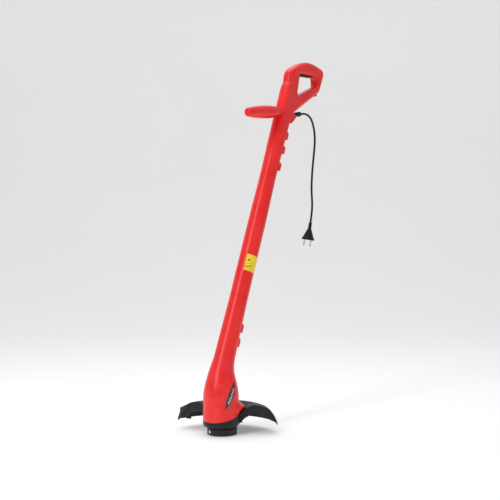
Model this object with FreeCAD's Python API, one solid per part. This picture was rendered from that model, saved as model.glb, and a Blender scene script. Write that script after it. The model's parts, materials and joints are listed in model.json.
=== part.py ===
import FreeCAD, Part
import math
import os

from FreeCAD import Vector

# A corded garden string trimmer, standing as it is used: the cutting head's axis is
# upright and the shaft leans back towards the user.
# +X is the user's left, +Y is towards the user and +Z is up. Millimetres.
# Heights and places are measured from the point on the ground under the head's axis,
# and every piece is moved at the end so that the origin is the middle of the rear grip.

GRIP_Y, GRIP_Z = 400.0, 1005.0  # middle of the hand on the rear grip

WALL = 2.5  # moulded shell wall
GAP = 0.3  # room between pieces that must not touch

# Shaft
SEAM_Y, SEAM_Z = 71.5, 350.0  # where the lower housing plugs into the upper one
SHOULDER_Y, SHOULDER_Z = 321.3, 960.0  # top of the tube, below the grip
SHAFT_SLOPE = (SHOULDER_Y - SEAM_Y) / (SHOULDER_Z - SEAM_Z)
SHAFT_LEAN = math.degrees(math.atan(SHAFT_SLOPE))  # degrees from upright
SHAFT_LENGTH = math.hypot(SHOULDER_Y - SEAM_Y, SHOULDER_Z - SEAM_Z)
SEAM_GAP = 0.6  # the groove that shows between the housings
TUBE_R = 24.5
WAIST_DEPTH, WAIST_SPAN = 1.8, 90.0
SHOULDER_DROP, SHOULDER_SPAN = 9.0, 30.0
LOWER_TAPER = 0.02  # how fast the lower tube grows towards the motor

# Closed rear grip
GRIP_WIDTH = 31.0
GRIP_ROUND = 12.0
WINDOW_ROUND = 8.0
FLANK_LOW_Z = 770.0  # where the tube's flat flanks start, below the grip

# Front handle
HANDLE_Y, HANDLE_Z = 285.0, 869.0  # on the shaft's centre line
HANDLE_DROOP = 7.0
HANDLE_REACH = 176.0
HANDLE_WALL = 2.6
HANDLE_BOLT_R = 2.5

# Motor housing
BODY_Y = -5.5  # centre of the housing's plan
BODY_R = 46.5
BODY_TOP, NECK_TOP = 92.0, 200.0  # between these the housing narrows into the tube
BODY_BEND = 5.5  # how gently the centre line turns from upright into the shaft
RIM_Z = 36.0  # lower edge of the red housing at the front
RIM_RISE = 23.0  # how much higher that edge is at the back
BODY_LOW = 16.0  # where the housing's outline starts, before the rim is cut
FLARE_HIGH, FLARE_LOW = 89.0, 52.0
FLARE_Y, FLARE_R, FLARE_EDGE = 12.5, 50.4, 3.0

# Badge
BADGE_TILT = 27.0
BADGE_TURN = 73.0  # degrees from straight ahead towards the user's left
BADGE_Z = 105.0

# Guard
COLLAR_Z = 21.0
GUARD_WALL = 2.8
GUARD_R = 144.0
GUARD_LEFT_END, GUARD_RIGHT_END = 57.0, 88.0  # degrees either side of straight back

# Cutting head
HEAD_R = 39.0
HEAD_TOP = 19.0
HUB_R = 8.0
SPOOL_R = 33.0
BUTTON_R = 13.5
HEAD_WALL = 2.2
EYELET_Z = 10.0
EYELET_TURN = 16.0  # degrees from straight ahead towards the user's right

# Motor
SHAFT_R = 4.0
STACK_R = 33.0
STACK_Z, STACK_TALL = 72.0, 32.0
ARMATURE_R = 18.5
AIR_GAP = 0.7
BEARING_R = 11.0
BEARING_TALL = 7.0

# Trigger and switch
TRIGGER_WIDTH = 14.0
TRIGGER_Y, TRIGGER_Z = 420.0, 1000.0  # pivot
TRIGGER_PIN_R = 2.0
PIN_CLEARANCE = 0.06
SWITCH_Y = 380.0
SPRING_TOP = 1009.0
PLUNGER_R = 2.2

# Screws
SCREW_R = 1.5
SCREW_HEAD_R = 3.4
POST_R = 5.2

# Mains cord and plug
CORD_R = 3.1
EXIT_Y, EXIT_Z = 330.26, 865.35
EXIT_RISE = 10.0  # degrees above level
RELIEF_LENGTH = 47.0
RELIEF_FLANGE_R, RELIEF_TAIL_R = 5.6, 3.9
CLAMP_BACK = 34.0
FIRST_RUN = 26.4
CORD_POINTS = [
    (0.0, 431.0, 866.5),
    (0.5, 446.5, 838.0),
    (1.5, 450.0, 802.0),
    (1.0, 444.0, 761.0),
    (-0.5, 437.5, 711.0),
    (0.0, 431.5, 655.0),
    (1.5, 437.0, 602.0),
]
PLUG_TURN = 36.0  # the plug's flat face, degrees about the upright
PLUG_TILT = 8.7
LAST_RUN = 44.0
PLUG_LENGTH = 52.0
PIN_R, PIN_LENGTH, PIN_SPACING = 2.4, 19.0, 19.0

X_AXIS, Y_AXIS, Z_AXIS = Vector(1, 0, 0), Vector(0, 1, 0), Vector(0, 0, 1)
HUGE = 2000.0


# ---------------------------------------------------------------- helpers


def save(name, shape):
    """Moves a finished piece so that the grip is the origin, and writes it."""
    shape = shape.copy()
    shape.translate(Vector(0, -GRIP_Y, -GRIP_Z))
    if not shape.isValid():
        print("NOT VALID", name)
    shape.exportStep(f"parts/{name}.step")
    print(f"{name}: {len(shape.Solids)} solid(s), {shape.Volume / 1000:.2f} cm3")


def cylinder(radius, height, base, direction=Z_AXIS):
    return Part.makeCylinder(radius, height, base, direction)


def box(low, high):
    return Part.makeBox(*(high[i] - low[i] for i in range(3)), Vector(*low))


def join(shapes):
    first, *rest = shapes
    return first.multiFuse(rest).removeSplitter() if rest else first


def lathe(profile, centre_y=0.0, sweep=360.0, start=0.0):
    """A body of revolution about the upright through (0, centre_y), from (radius, z)."""
    points = [Vector(r, centre_y, z) for r, z in profile]
    face = Part.Face(Part.makePolygon(points + points[:1]))
    axis = Vector(0, centre_y, 0)
    face.rotate(axis, Z_AXIS, start)
    return face.revolve(axis, Z_AXIS, sweep)


def tilted(tilt):
    """The direction that leans back from upright by so many degrees."""
    return Vector(0, math.sin(math.radians(tilt)), math.cos(math.radians(tilt)))


def round_section(y, z, tilt, radius):
    return Part.Wire([Part.Circle(Vector(0, y, z), tilted(tilt), radius).toShape()])


def oval_section(y, z, tilt, half_width, half_depth):
    """A closed oval about (0, y, z), in a plane whose upright leans back by tilt."""
    count = 16
    depth = tilted(tilt + 90.0) * half_depth
    points = []
    for i in range(count):
        angle = 2 * math.pi * i / count
        points.append(Vector(half_width * math.cos(angle), y, z) + depth * math.sin(angle))
    curve = Part.BSplineCurve()
    curve.interpolate(points, PeriodicFlag=True)
    return Part.Wire([curve.toShape()])


def smooth_loft(wires):
    return Part.makeLoft(wires, True, False)


def steps(low, high, count):
    """Evenly spaced values from low to high."""
    return [low + (high - low) * i / (count - 1) for i in range(count)]


def rounded_outline(corners):
    """A closed outline in the YZ plane, from corners of (y, z, radius)."""
    count = len(corners)
    edges, ends = [], []
    for i, (y, z, radius) in enumerate(corners):
        here = Vector(0, y, z)
        before = Vector(0, *corners[i - 1][:2]) - here
        after = Vector(0, *corners[(i + 1) % count][:2]) - here
        before.normalize()
        after.normalize()
        half = before.getAngle(after) / 2
        cut = radius / math.tan(half)
        start, stop = here + before * cut, here + after * cut
        bisector = before + after
        bisector.normalize()
        middle = here + bisector * (radius / math.sin(half) - radius)
        edges.append(Part.Arc(start, middle, stop).toShape())
        ends.append((start, stop))
    wire = []
    for i in range(count):
        wire.append(edges[i])
        wire.append(Part.makeLine(ends[i][1], ends[(i + 1) % count][0]))
    return Part.Wire(wire)


def plate(face, half_width):
    """A flat face in the YZ plane given an even thickness about it."""
    face = face.copy()
    face.translate(Vector(-half_width, 0, 0))
    return face.extrude(Vector(2 * half_width, 0, 0))


def halves(shape):
    """The parts of a shape on the user's left and right."""
    left = shape.common(box((0, -HUGE, -HUGE), (HUGE, HUGE, HUGE)))
    right = shape.common(box((-HUGE, -HUGE, -HUGE), (0, HUGE, HUGE)))
    return left, right


def spring(radius, wire_r, height, turns, base, direction=Z_AXIS):
    """A coil spring that stands on base."""
    helix = Part.makeLongHelix((height - 2 * wire_r) / turns, height - 2 * wire_r, radius)
    start = Part.Wire([Part.Circle(Vector(radius, 0, 0), Y_AXIS, wire_r).toShape()])
    coil = Part.Wire(helix.Edges).makePipeShell([start], True, True)
    coil.translate(Vector(0, 0, wire_r))
    coil.Placement = FreeCAD.Placement(base, FreeCAD.Rotation(Z_AXIS, direction)).multiply(coil.Placement)
    return coil


def smooth_path(points):
    """Straight runs joined by tangent arcs, and the arcs' radii."""
    edges, radii = [], []
    start = points[0]
    for before, here, after in zip(points, points[1:], points[2:]):
        back, ahead = before - here, after - here
        share = 0.45 * min(back.Length, ahead.Length)
        half_turn = (math.pi - back.getAngle(ahead)) / 2
        radius = share / math.tan(half_turn)
        back.normalize()
        ahead.normalize()
        bisector = back + ahead
        bisector.normalize()
        enter, leave = here + back * share, here + ahead * share
        middle = here + bisector * (radius / math.cos(half_turn) - radius)
        edges.append(Part.LineSegment(start, enter).toShape())
        edges.append(Part.Arc(enter, middle, leave).toShape())
        radii.append(radius)
        start = leave
    edges.append(Part.LineSegment(start, points[-1]).toShape())
    return Part.Wire(edges), radii


def tube_along(points, radius):
    path, radii = smooth_path(points)
    first = points[1] - points[0]
    profile = Part.Wire([Part.Circle(points[0], first, radius).toShape()])
    return path.makePipeShell([profile], True, False), path, radii


def shaft_point(z, back=0.0):
    """A point on the tube's centre line at a height, moved back across the shaft."""
    y = SEAM_Y + (z - SEAM_Z) * SHAFT_SLOPE
    return Vector(0, y, z) + tilted(SHAFT_LEAN + 90.0) * back


# ---------------------------------------------------------------- housings


def tube_radius(along):
    """Half the upper tube's thickness at a distance above the seam."""
    waist_at = 0.55 * SHAFT_LENGTH
    waist = WAIST_DEPTH * math.exp(-(((along - waist_at) / WAIST_SPAN) ** 2))
    into_shoulder = max(0.0, along - (SHAFT_LENGTH - SHOULDER_SPAN)) / SHOULDER_SPAN
    return TUBE_R - waist - SHOULDER_DROP * into_shoulder**2.5


def upper_tube(grow=0.0):
    """The upper tube, from the seam to its rounded shoulder inside the grip."""
    stations = steps(0.0, SHAFT_LENGTH, 26)
    points = [Vector(tube_radius(along) + grow, 0, along) for along in stations]
    side = Part.BSplineCurve()
    side.interpolate(points)
    top, bottom = Vector(0, 0, SHAFT_LENGTH), Vector()
    edges = [
        side.toShape(),
        Part.makeLine(points[-1], top),
        Part.makeLine(top, bottom),
        Part.makeLine(bottom, points[0]),
    ]
    tube = Part.Face(Part.Wire(edges)).revolve(Vector(), Z_AXIS, 360)
    lean = FreeCAD.Rotation(X_AXIS, -SHAFT_LEAN)
    tube.Placement = FreeCAD.Placement(Vector(0, SEAM_Y, SEAM_Z), lean)
    return tube


def flanks():
    """What is shaved off the tube's sides so that they run into the flat sides of the grip."""
    half = GRIP_WIDTH / 2
    low, high = shaft_point(FLANK_LOW_Z), shaft_point(SHOULDER_Z - 20.0)
    reach = 60.0
    corners = [(TUBE_R + 0.5, low.z), (half, high.z), (half, high.z + reach), (reach, high.z), (reach, low.z)]
    outline = [Vector(x, 0, z) for x, z in corners]
    wedge = Part.Face(Part.makePolygon(outline + outline[:1])).extrude(Vector(0, 500.0, 0))
    return wedge.fuse(wedge.mirror(Vector(), X_AXIS))


def flanks_inside():
    """The same flanks, moved in by the shell's wall."""
    cut = flanks()
    sides = []
    for side in (-1, 1):
        moved = cut.copy()
        moved.translate(Vector(-side * WALL, 0, 0))
        sides.append(moved.common(box((min(0, side * HUGE), 0, 0), (max(0, side * HUGE), HUGE, HUGE))))
    return join(sides)


def lower_radius(z):
    """Half the lower housing's thickness at a height."""
    tube = TUBE_R + LOWER_TAPER * (SEAM_Z - z)
    through = min(max((z - BODY_TOP) / (NECK_TOP - BODY_TOP), 0.0), 1.0)
    return tube + (BODY_R - tube) * (1 + math.cos(math.pi * through)) / 2 if z > BODY_TOP else BODY_R


def lower_body(grow=0.0, overrun=0.0):
    """The motor housing and lower tube, from below the rim up to the seam."""
    wires = []
    for z in steps(BODY_LOW - overrun, SEAM_Z + overrun, 36):
        ahead = shaft_point(z).y - BODY_Y
        blend = math.hypot(ahead, 1.4 * BODY_BEND)
        centre_y = BODY_Y + (ahead + blend) / 2
        tilt = math.degrees(math.atan(SHAFT_SLOPE * (1 + ahead / blend) / 2))
        wires.append(round_section(centre_y, z, tilt, lower_radius(z) + grow))
    return smooth_loft(wires)


def below_seam():
    """All of the trimmer that lies under the seam between the housings."""
    reach = 500.0
    along = tilted(SHAFT_LEAN)
    return cylinder(reach / 2, reach, shaft_point(SEAM_Z) - along * (reach + SEAM_GAP), along)


def rear_flare(inset=0.0):
    """The skirt that spreads from the back of the motor housing over the guard."""
    middle = (FLARE_HIGH + FLARE_LOW) / 2
    sections = [
        (FLARE_HIGH, BODY_Y, BODY_R - 2.5),
        (middle + FLARE_EDGE / 2, FLARE_Y, FLARE_R),
        (middle - FLARE_EDGE / 2, FLARE_Y, FLARE_R),
        (FLARE_LOW, BODY_Y, BODY_R - 2.5),
    ]
    wires = [round_section(y, z, 0.0, radius - inset) for z, y, radius in sections]
    return Part.makeLoft(wires, True, True)


GRIP_OUTLINE = [
    # y, z, corner radius
    (283.0, 893.0, 14.0),
    (302.5, 991.0, 34.0),
    (395.0, 1034.0, 150.0),
    (491.0, 1014.0, 18.0),
    (459.0, 945.0, 30.0),
    (325.0, 870.0, 14.0),
]
WINDOW = [
    (352.5, 987.0, 12.0),
    (445.0, 990.0, 12.0),
    (447.0, 963.0, 9.0),
    (336.5, 917.0, 8.0),
]


def rims_at(body, half):
    """The edges that lie flat in either side face of a plate."""
    rims = []
    for edge in body.Edges:
        flat = edge.BoundBox.XLength < 1e-6
        if flat and abs(abs(edge.CenterOfMass.x) - half) < 1e-3:
            rims.append(edge)
    return rims


def inside_of(edge, bounds):
    """Whether an edge lies within another shape's reach in Y and Z."""
    slack = 0.01
    low = bounds.YMin - slack < edge.BoundBox.YMin and bounds.ZMin - slack < edge.BoundBox.ZMin
    high = edge.BoundBox.YMax < bounds.YMax + slack and edge.BoundBox.ZMax < bounds.ZMax + slack
    return low and high


def grip_body(inset=0.0):
    """The closed grip as a rounded plate with its window, drawn in by inset on every side."""
    outer = Part.Face(rounded_outline(GRIP_OUTLINE))
    window = Part.Face(rounded_outline(WINDOW))
    if inset:
        outer = outer.makeOffset2D(-inset)
        window = window.makeOffset2D(inset)
    half = GRIP_WIDTH / 2 - inset
    body = plate(outer, half)
    body = body.makeFillet(GRIP_ROUND - inset, rims_at(body, half))
    body = body.cut(plate(window, half))
    rims = [e for e in rims_at(body, half) if inside_of(e, window.BoundBox)]
    return body.makeFillet(WINDOW_ROUND - inset, rims)


def cord_place(back):
    """A point on the cord's line through its outlet, so far back inside the housing."""
    return Vector(0, EXIT_Y, EXIT_Z) - cord_out() * back


def cord_out():
    return tilted(90.0 - EXIT_RISE)


BOSS_OUTLINE = [
    # y, z, corner radius
    (292.0, 882.0, 2.0),
    (320.0, 876.0, 4.0),
    (338.0, 858.0, 4.0),
    (314.0, 838.0, 9.0),
    (290.0, 838.0, 2.0),
]


def cord_boss():
    """The swelling behind the tube that the mains cord leaves through."""
    half = 9.5
    boss = plate(Part.Face(rounded_outline(BOSS_OUTLINE)), half)
    return boss.makeFillet(1.8, rims_at(boss, half))


def cord_channel():
    """The stepped bore that holds the strain relief."""
    return join([
        cylinder(RELIEF_FLANGE_R, 40.0, cord_place(12.0), cord_out()),
        cylinder(RELIEF_TAIL_R + 0.2, 44.0, cord_place(44.0), cord_out()),
    ])


def clamp_shelf():
    """The block inside the tube that the cord clamp is screwed down to."""
    middle = cord_place(CLAMP_BACK)
    low = (-17.0, middle.y - 8.0, middle.z - 9.0)
    return box(low, (17.0, middle.y + 12.0, middle.z + RELIEF_TAIL_R + 0.1)).common(upper_tube(-1.0))


def screw_tower(z, radius):
    """The long low swelling round a screw on the left side of the tube."""
    round_r, half_length = 6.0, 6.0
    along = tilted(SHAFT_LEAN)
    across = tilted(SHAFT_LEAN + 90.0) * round_r
    centre = shaft_point(z, SCREW_BACK)
    reach = radius - 2.6
    ends = [centre - along * half_length, centre + along * half_length]
    corners = [ends[0] - across, ends[1] - across, ends[1] + across, ends[0] + across]
    web = Part.Face(Part.makePolygon(corners + corners[:1])).extrude(Vector(reach, 0, 0))
    return join([web] + [cylinder(round_r, reach, end, X_AXIS) for end in ends])


class ScrewSet:
    """Screws across the housing, the posts that hold them, and their holes."""

    def __init__(self):
        self.screws, self.posts, self.holes = [], [], []


def screw_set(places, half_width):
    """Screws from the user's right through to posts on the left, at (y, z) places.

    Each is drawn from the left and then mirrored.
    """
    made = ScrewSet()
    head_x, tip_x = half_width - 7.0, 6.0 - half_width
    for y, z in places:
        tip = Vector(tip_x, y, z)
        shank = cylinder(SCREW_R, head_x - tip_x, tip, X_AXIS)
        head = cylinder(SCREW_HEAD_R, 2.4, Vector(head_x, y, z), X_AXIS)
        upright = box((head_x + 1.2, y - 0.4, z - 2.2), (head_x + 3, y + 0.4, z + 2.2))
        level = box((head_x + 1.2, y - 2.2, z - 0.4), (head_x + 3, y + 2.2, z + 0.4))
        screw = shank.fuse(head).cut(upright.fuse(level))
        made.screws.append(screw.mirror(Vector(), X_AXIS))
        made.posts.append(cylinder(POST_R, 2 * HUGE, Vector(-HUGE, y, z), X_AXIS))
        recess = cylinder(SCREW_HEAD_R + GAP, HUGE, Vector(head_x, y, z), X_AXIS)
        bore = cylinder(SCREW_R + 0.2, head_x + 1.0, Vector(0, y, z), X_AXIS)
        pilot = cylinder(SCREW_R, -tip_x, tip, X_AXIS)
        made.holes.append(join([recess, bore, pilot]).mirror(Vector(), X_AXIS))
    return made


UPPER_TUBE_SCREWS = [802.0, 761.0, 713.0, SEAM_Z + 70.0]
TOWERS = UPPER_TUBE_SCREWS[:3]
LOWER_TUBE_SCREWS = [276.0, 240.0]
SCREW_BACK = 13.0
GRIP_SCREWS = [(463.0, 992.0), (332.0, 1000.0), (408.0, 929.0)]
BODY_SCREWS = [(-20.0, 150.0)]


def tube_screws_at(heights):
    points = [shaft_point(z, SCREW_BACK) for z in heights]
    return [(point.y, point.z) for point in points]


def upper_housing():
    """The grip and the upper tube: two half shells and their screws."""
    towers = [screw_tower(z, TUBE_R + 1.0) for z in TOWERS]
    outside = join([upper_tube().cut(flanks()), grip_body(), cord_boss()] + towers)
    tube = screw_set(tube_screws_at(UPPER_TUBE_SCREWS), TUBE_R - 2.0)
    grip = screw_set(GRIP_SCREWS, GRIP_WIDTH / 2)
    solid_places = join(tube.posts + grip.posts + [handle_pad(), clamp_shelf()])
    core = upper_tube(-WALL).cut(flanks_inside())
    inside = join([core, grip_body(WALL)]).cut(solid_places)
    within = grip_body(0.5)
    spring_seat = box((-4.5, 363.0, SPRING_TOP), (4.5, 371.0, SPRING_TOP + 20.0)).common(within)
    axle_boss = cylinder(5.0, 2 * HUGE, Vector(-HUGE, TRIGGER_Y, TRIGGER_Z), X_AXIS).common(within)
    switch_room = box((-9.0, 340.0, 980.0), (9.0, 432.0, 1030.0))
    wall = join([outside.cut(inside), spring_seat, axle_boss.cut(switch_room)])
    holes = tube.holes + grip.holes + [
        trigger_slot(),
        cylinder(TRIGGER_PIN_R, 28.0, Vector(-14.0, TRIGGER_Y, TRIGGER_Z), X_AXIS),
        cord_channel(),
        clamp_screws(0.2),
        handle_bolt_hole(HANDLE_BOLT_R),
        label_recess(),
    ]
    for hole in holes:
        wall = wall.cut(hole)
    left, right = halves(wall)
    save("upper_shell_left", left)
    save("upper_shell_right", right)
    save("upper_shell_screws", Part.makeCompound(tube.screws + grip.screws))


def trigger_slot():
    half = TRIGGER_WIDTH / 2 + GAP
    return box((-half, 357.0, 960.0), (half, 430.0, 996.0))


def lower_housing():
    """The motor housing and lower tube: two half shells and their screws."""
    towers = [screw_tower(z, TUBE_R + 3.0) for z in LOWER_TUBE_SCREWS]
    outside = lower_body(0.0, 1.0).common(below_seam()).fuse(rear_flare()).fuse(join(towers))
    tube = screw_set(tube_screws_at(LOWER_TUBE_SCREWS), TUBE_R)
    body = screw_set(BODY_SCREWS, 22.0)
    posts = join(tube.posts + body.posts)
    inside = lower_body(-WALL, 1.0).fuse(rear_flare(WALL)).cut(posts)
    wall = outside.cut(inside)
    holes = tube.holes + body.holes + [below_rim(), guard_seat()] + vent_slots()
    holes.append(badge_shape(GAP, -0.7, 2.0))
    for hole in holes:
        wall = wall.cut(hole)
    left, right = halves(wall)
    save("lower_shell_left", left)
    save("lower_shell_right", right)
    save("lower_shell_screws", Part.makeCompound(tube.screws + body.screws))


def below_rim(lift=0.0):
    """All that lies under the slanting lower edge of the housing."""
    slope = RIM_RISE / (2 * BODY_R)
    front_y = BODY_Y - 100.0
    back_y = BODY_Y + 300.0
    zero = RIM_Z + lift + slope * BODY_R
    outline = [
        Vector(0, front_y, -100),
        Vector(0, back_y, -100),
        Vector(0, back_y, zero + slope * (back_y - BODY_Y)),
        Vector(0, front_y, zero + slope * (front_y - BODY_Y)),
    ]
    return plate(Part.Face(Part.makePolygon(outline + outline[:1])), 200.0)


def vent_slots():
    """Cooling slots across the back of the motor housing."""
    slots = []
    for i in range(6):
        z = 108.0 + 8.5 * i
        slots.append(box((-15.0, 10.0, z), (-2.5, 70.0, z + 3.6)))
        slots.append(box((2.5, 10.0, z), (15.0, 70.0, z + 3.6)))
    return slots


def joint_sleeve():
    """The sleeve inside the seam between the two housings."""
    radius = TUBE_R - WALL - GAP
    start, length = shaft_point(SEAM_Z - 22.0), 56.0
    outer = cylinder(radius, length, start, tilted(SHAFT_LEAN))
    save("joint_sleeve", outer.cut(cylinder(radius - 2.0, length, start, tilted(SHAFT_LEAN))))


# ---------------------------------------------------------------- badge and label


def leaf_prism(margin):
    """A leaf outline seen from the user's left front, pushed through the housing."""
    length, width = 39.0 + margin, 8.0 + margin
    tip, tail = Vector(0, 0, length), Vector(0, 0, -length)
    sides = [Part.Arc(tail, Vector(s * width, 0, 0), tip).toShape() for s in (-1, 1)]
    face = Part.Face(Part.Wire([sides[0], sides[1]]))
    face.rotate(Vector(), Y_AXIS, BADGE_TILT)
    prism = face.extrude(Vector(0, 90.0, 0))
    prism.rotate(Vector(), Z_AXIS, BADGE_TURN)
    turn = math.radians(BADGE_TURN)
    prism.translate(Vector(90.0 * math.sin(turn), BODY_Y - 90.0 * math.cos(turn), BADGE_Z))
    return prism


def badge_shape(margin, low, high):
    """The badge between two heights above the housing's surface."""
    return lower_body(high).cut(lower_body(low, 1.0)).common(leaf_prism(margin))


def label_prism(margin):
    """The label's outline across the left front of the tube."""
    half_w, half_h = 17.0 + margin, 23.0 + margin
    prism = box((-half_w, -60.0, -half_h), (half_w, 0.0, half_h))
    lean = FreeCAD.Rotation(X_AXIS, -SHAFT_LEAN)
    turn = FreeCAD.Rotation(tilted(SHAFT_LEAN), 70.0)
    prism.Placement = FreeCAD.Placement(shaft_point(438.0), turn.multiply(lean))
    return prism


def label_recess():
    return upper_tube(1.0).cut(upper_tube(-0.5)).common(label_prism(GAP))


def trims():
    save("badge", badge_shape(0.0, -0.5, 0.5))
    save("tube_label", upper_tube(0.1).cut(upper_tube(-0.3)).common(label_prism(0.0)))


# ---------------------------------------------------------------- front handle


HANDLE_STATIONS = [
    # distance from the tube's centre line, half width, half height
    (10.0, 15.5, 9.8),
    (26.0, 15.5, 10.0),
    (42.0, 16.5, 14.2),
    (60.0, 17.6, 16.8),
    (85.0, 18.0, 18.0),
    (110.0, 17.6, 17.8),
    (135.0, 16.4, 16.4),
    (158.0, 14.2, 14.2),
    (HANDLE_REACH - 6.0, 12.4, 12.4),
    (HANDLE_REACH - 1.2, 10.6, 10.6),
    (HANDLE_REACH, 8.0, 8.0),
]


def handle_axis():
    return tilted(-90.0 - HANDLE_DROOP)


def handle_point(reach):
    return Vector(0, HANDLE_Y, HANDLE_Z) + handle_axis() * reach


def handle_loft(inset, first, last):
    """The handle's cigar shape, drawn in by inset, through some of its stations."""
    wires = []
    for reach, half_width, half_height in HANDLE_STATIONS[first:last]:
        at = handle_point(reach)
        wires.append(oval_section(at.y, at.z, 90.0 - HANDLE_DROOP, half_width - inset, half_height - inset))
    return smooth_loft(wires)


def handle_bolt_hole(radius):
    return cylinder(radius, 26.0, handle_point(8.0), handle_axis())


def handle_pad():
    """A thicker place inside the tube under the handle's bolt."""
    return cylinder(8.0, 30.0, handle_point(17.0), handle_axis())


def front_handle():
    body = handle_loft(0.0, 0, None).cut(handle_loft(HANDLE_WALL, 2, -1))
    body = body.cut(upper_tube(0.05)).cut(handle_bolt_hole(HANDLE_BOLT_R))
    save("front_handle", max(body.Solids, key=lambda solid: solid.Volume))
    shank = cylinder(HANDLE_BOLT_R, 20.0, handle_point(13.3), handle_axis())
    head = cylinder(4.5, 3.5, handle_point(13.3), handle_axis())
    save("front_handle_bolt", join([shank, head]))


# ---------------------------------------------------------------- trigger and switch


def trigger_parts():
    profile = rounded_outline([
        (361.0, 991.0, 1.5),
        (360.0, 979.5, 3.0),
        (382.0, 982.5, 30.0),
        (424.0, 985.0, 4.0),
        (426.0, 1004.0, 4.0),
        (414.0, 1004.0, 3.0),
        (408.0, 998.4, 3.0),
        (372.0, 998.4, 1.5),
        (371.0, 991.0, 1.5),
    ])
    half = TRIGGER_WIDTH / 2
    body = plate(Part.Face(profile), half)
    finger_edges = [e for e in rims_at(body, half) if e.CenterOfMass.z < 985.5]
    body = body.makeFillet(2.0, finger_edges)
    pivot = Vector(-20.0, TRIGGER_Y, TRIGGER_Z)
    save("trigger", body.cut(cylinder(TRIGGER_PIN_R + PIN_CLEARANCE, 40.0, pivot, X_AXIS)))
    pin_start = Vector(-13.8, TRIGGER_Y, TRIGGER_Z)
    save("trigger_pin", cylinder(TRIGGER_PIN_R, 27.6, pin_start, X_AXIS))
    seat_z = 991.05
    save("trigger_spring", spring(2.6, 0.45, SPRING_TOP - seat_z - 0.05, 6, Vector(0, 366.8, seat_z)))


def switch_parts():
    case_low, case_high = 1003.4, 1017.0
    case = box((-8.0, SWITCH_Y - 5.5, case_low), (8.0, SWITCH_Y + 21.0, case_high))
    case = case.makeFillet(1.0, case.Edges)
    bore = cylinder(PLUNGER_R + PIN_CLEARANCE, 9.6, Vector(0, SWITCH_Y, case_low - 0.6))
    save("switch_body", case.cut(bore))
    save("switch_plunger", cylinder(PLUNGER_R, 8.8, Vector(0, SWITCH_Y, 998.8)))


# ---------------------------------------------------------------- mains cord


def cord_parts():
    """The strain relief, the whole visible cord, and the plug that hangs on it."""
    out = cord_out()
    tip_length = 10.0
    relief = join([
        cylinder(RELIEF_TAIL_R, 43.0, cord_place(43.0), out),
        cylinder(RELIEF_FLANGE_R, 25.0, cord_place(11.5), out),
        cylinder(6.4, 22.0, cord_place(-11.0), out),
        cylinder(7.2, 4.0, cord_place(-33.0), out),
        Part.makeCone(6.0, CORD_R + 0.9, tip_length, cord_place(tip_length - RELIEF_LENGTH), out),
    ])
    save("strain_relief", relief)

    plug_tilt, plug_turn = math.radians(PLUG_TILT), math.radians(PLUG_TURN)
    sideways = Vector(math.cos(plug_turn), math.sin(plug_turn), 0)
    down = sideways * -math.sin(plug_tilt) + Z_AXIS * -math.cos(plug_tilt)
    points = [cord_place(-RELIEF_LENGTH), cord_place(-RELIEF_LENGTH - FIRST_RUN)]
    points += [Vector(*point) for point in CORD_POINTS]
    points.append(points[-1] + down * LAST_RUN)
    tube, path, radii = tube_along(points, CORD_R)
    ideal = math.pi * CORD_R**2 * path.Length
    print("cord radii", [round(radius) for radius in radii], "length", round(path.Length, 1))
    print("cord volume over section times length", round(tube.Volume / ideal, 4))
    save("power_cord", tube)
    plug(points[-1], down)


PLUG_SECTIONS = [
    # height below the top, half width, half thickness
    (20.0, 6.0, 5.2),
    (30.0, 10.0, 6.4),
    (43.0, 15.5, 7.2),
    (46.0, 17.0, 7.4),
]


def plug(top, down):
    """A two-pin plug: the body and its pins, built hanging and then turned into place."""
    neck = cylinder(4.6, 21.0, Vector(0, 0, -21.0))
    wires = [oval_section(0.0, -low, 0.0, half_x, half_y) for low, half_x, half_y in PLUG_SECTIONS]
    body = Part.makeLoft(wires, True, True)
    flange_top = -PLUG_SECTIONS[-1][0]
    flange_face = Part.Face(oval_section(0.0, flange_top, 0.0, 18.3, 8.0))
    flange = flange_face.extrude(Vector(0, 0, -PLUG_LENGTH - flange_top))
    shell = join([neck, body, flange])
    pins = []
    buried, neck_length, neck_r = 5.0, 0.6, 2.0
    for side in (-1, 1):
        root = Vector(side * PIN_SPACING / 2, 0, buried - PLUG_LENGTH)
        bare = Vector(root.x, 0, -PLUG_LENGTH - neck_length)
        pin = cylinder(PIN_R, PIN_LENGTH - neck_length, bare, -Z_AXIS)
        tip = [e for e in pin.Edges if e.BoundBox.ZMax < -PLUG_LENGTH - PIN_LENGTH + 1e-3]
        pin = pin.makeFillet(0.8, tip)
        pins.append(pin.fuse(cylinder(neck_r, buried + neck_length, root, -Z_AXIS)))
    turned = FreeCAD.Rotation(Z_AXIS, PLUG_TURN)
    hang = FreeCAD.Rotation(-Z_AXIS, down)
    place = FreeCAD.Placement(top, hang.multiply(turned))
    pins = Part.makeCompound(pins)
    for name, shape in (("plug_body", shell.cut(pins)), ("plug_pins", pins)):
        shape = shape.copy()
        shape.Placement = place.multiply(shape.Placement)
        save(name, shape)
    face = place.multVec(Vector(0, 0, -PLUG_LENGTH)) - Vector(0, GRIP_Y, GRIP_Z)
    print("pin axis", down, "face centre", face, "across", place.Rotation.multVec(X_AXIS))


def clamp_screws(spare=0.0):
    """The two screws that hold the cord clamp, or their holes when spare is given."""
    middle = cord_place(CLAMP_BACK)
    low = middle.z + RELIEF_TAIL_R + 0.1
    screws = []
    for side in (-1, 1):
        spot = Vector(side * 7.0, middle.y, low - 6.0)
        head = cylinder(2.6, 1.8, Vector(side * 7.0, middle.y, low + 3.5))
        screws.append(join([cylinder(1.3 + spare, 9.6, spot), head]))
    return Part.makeCompound(screws)


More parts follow.
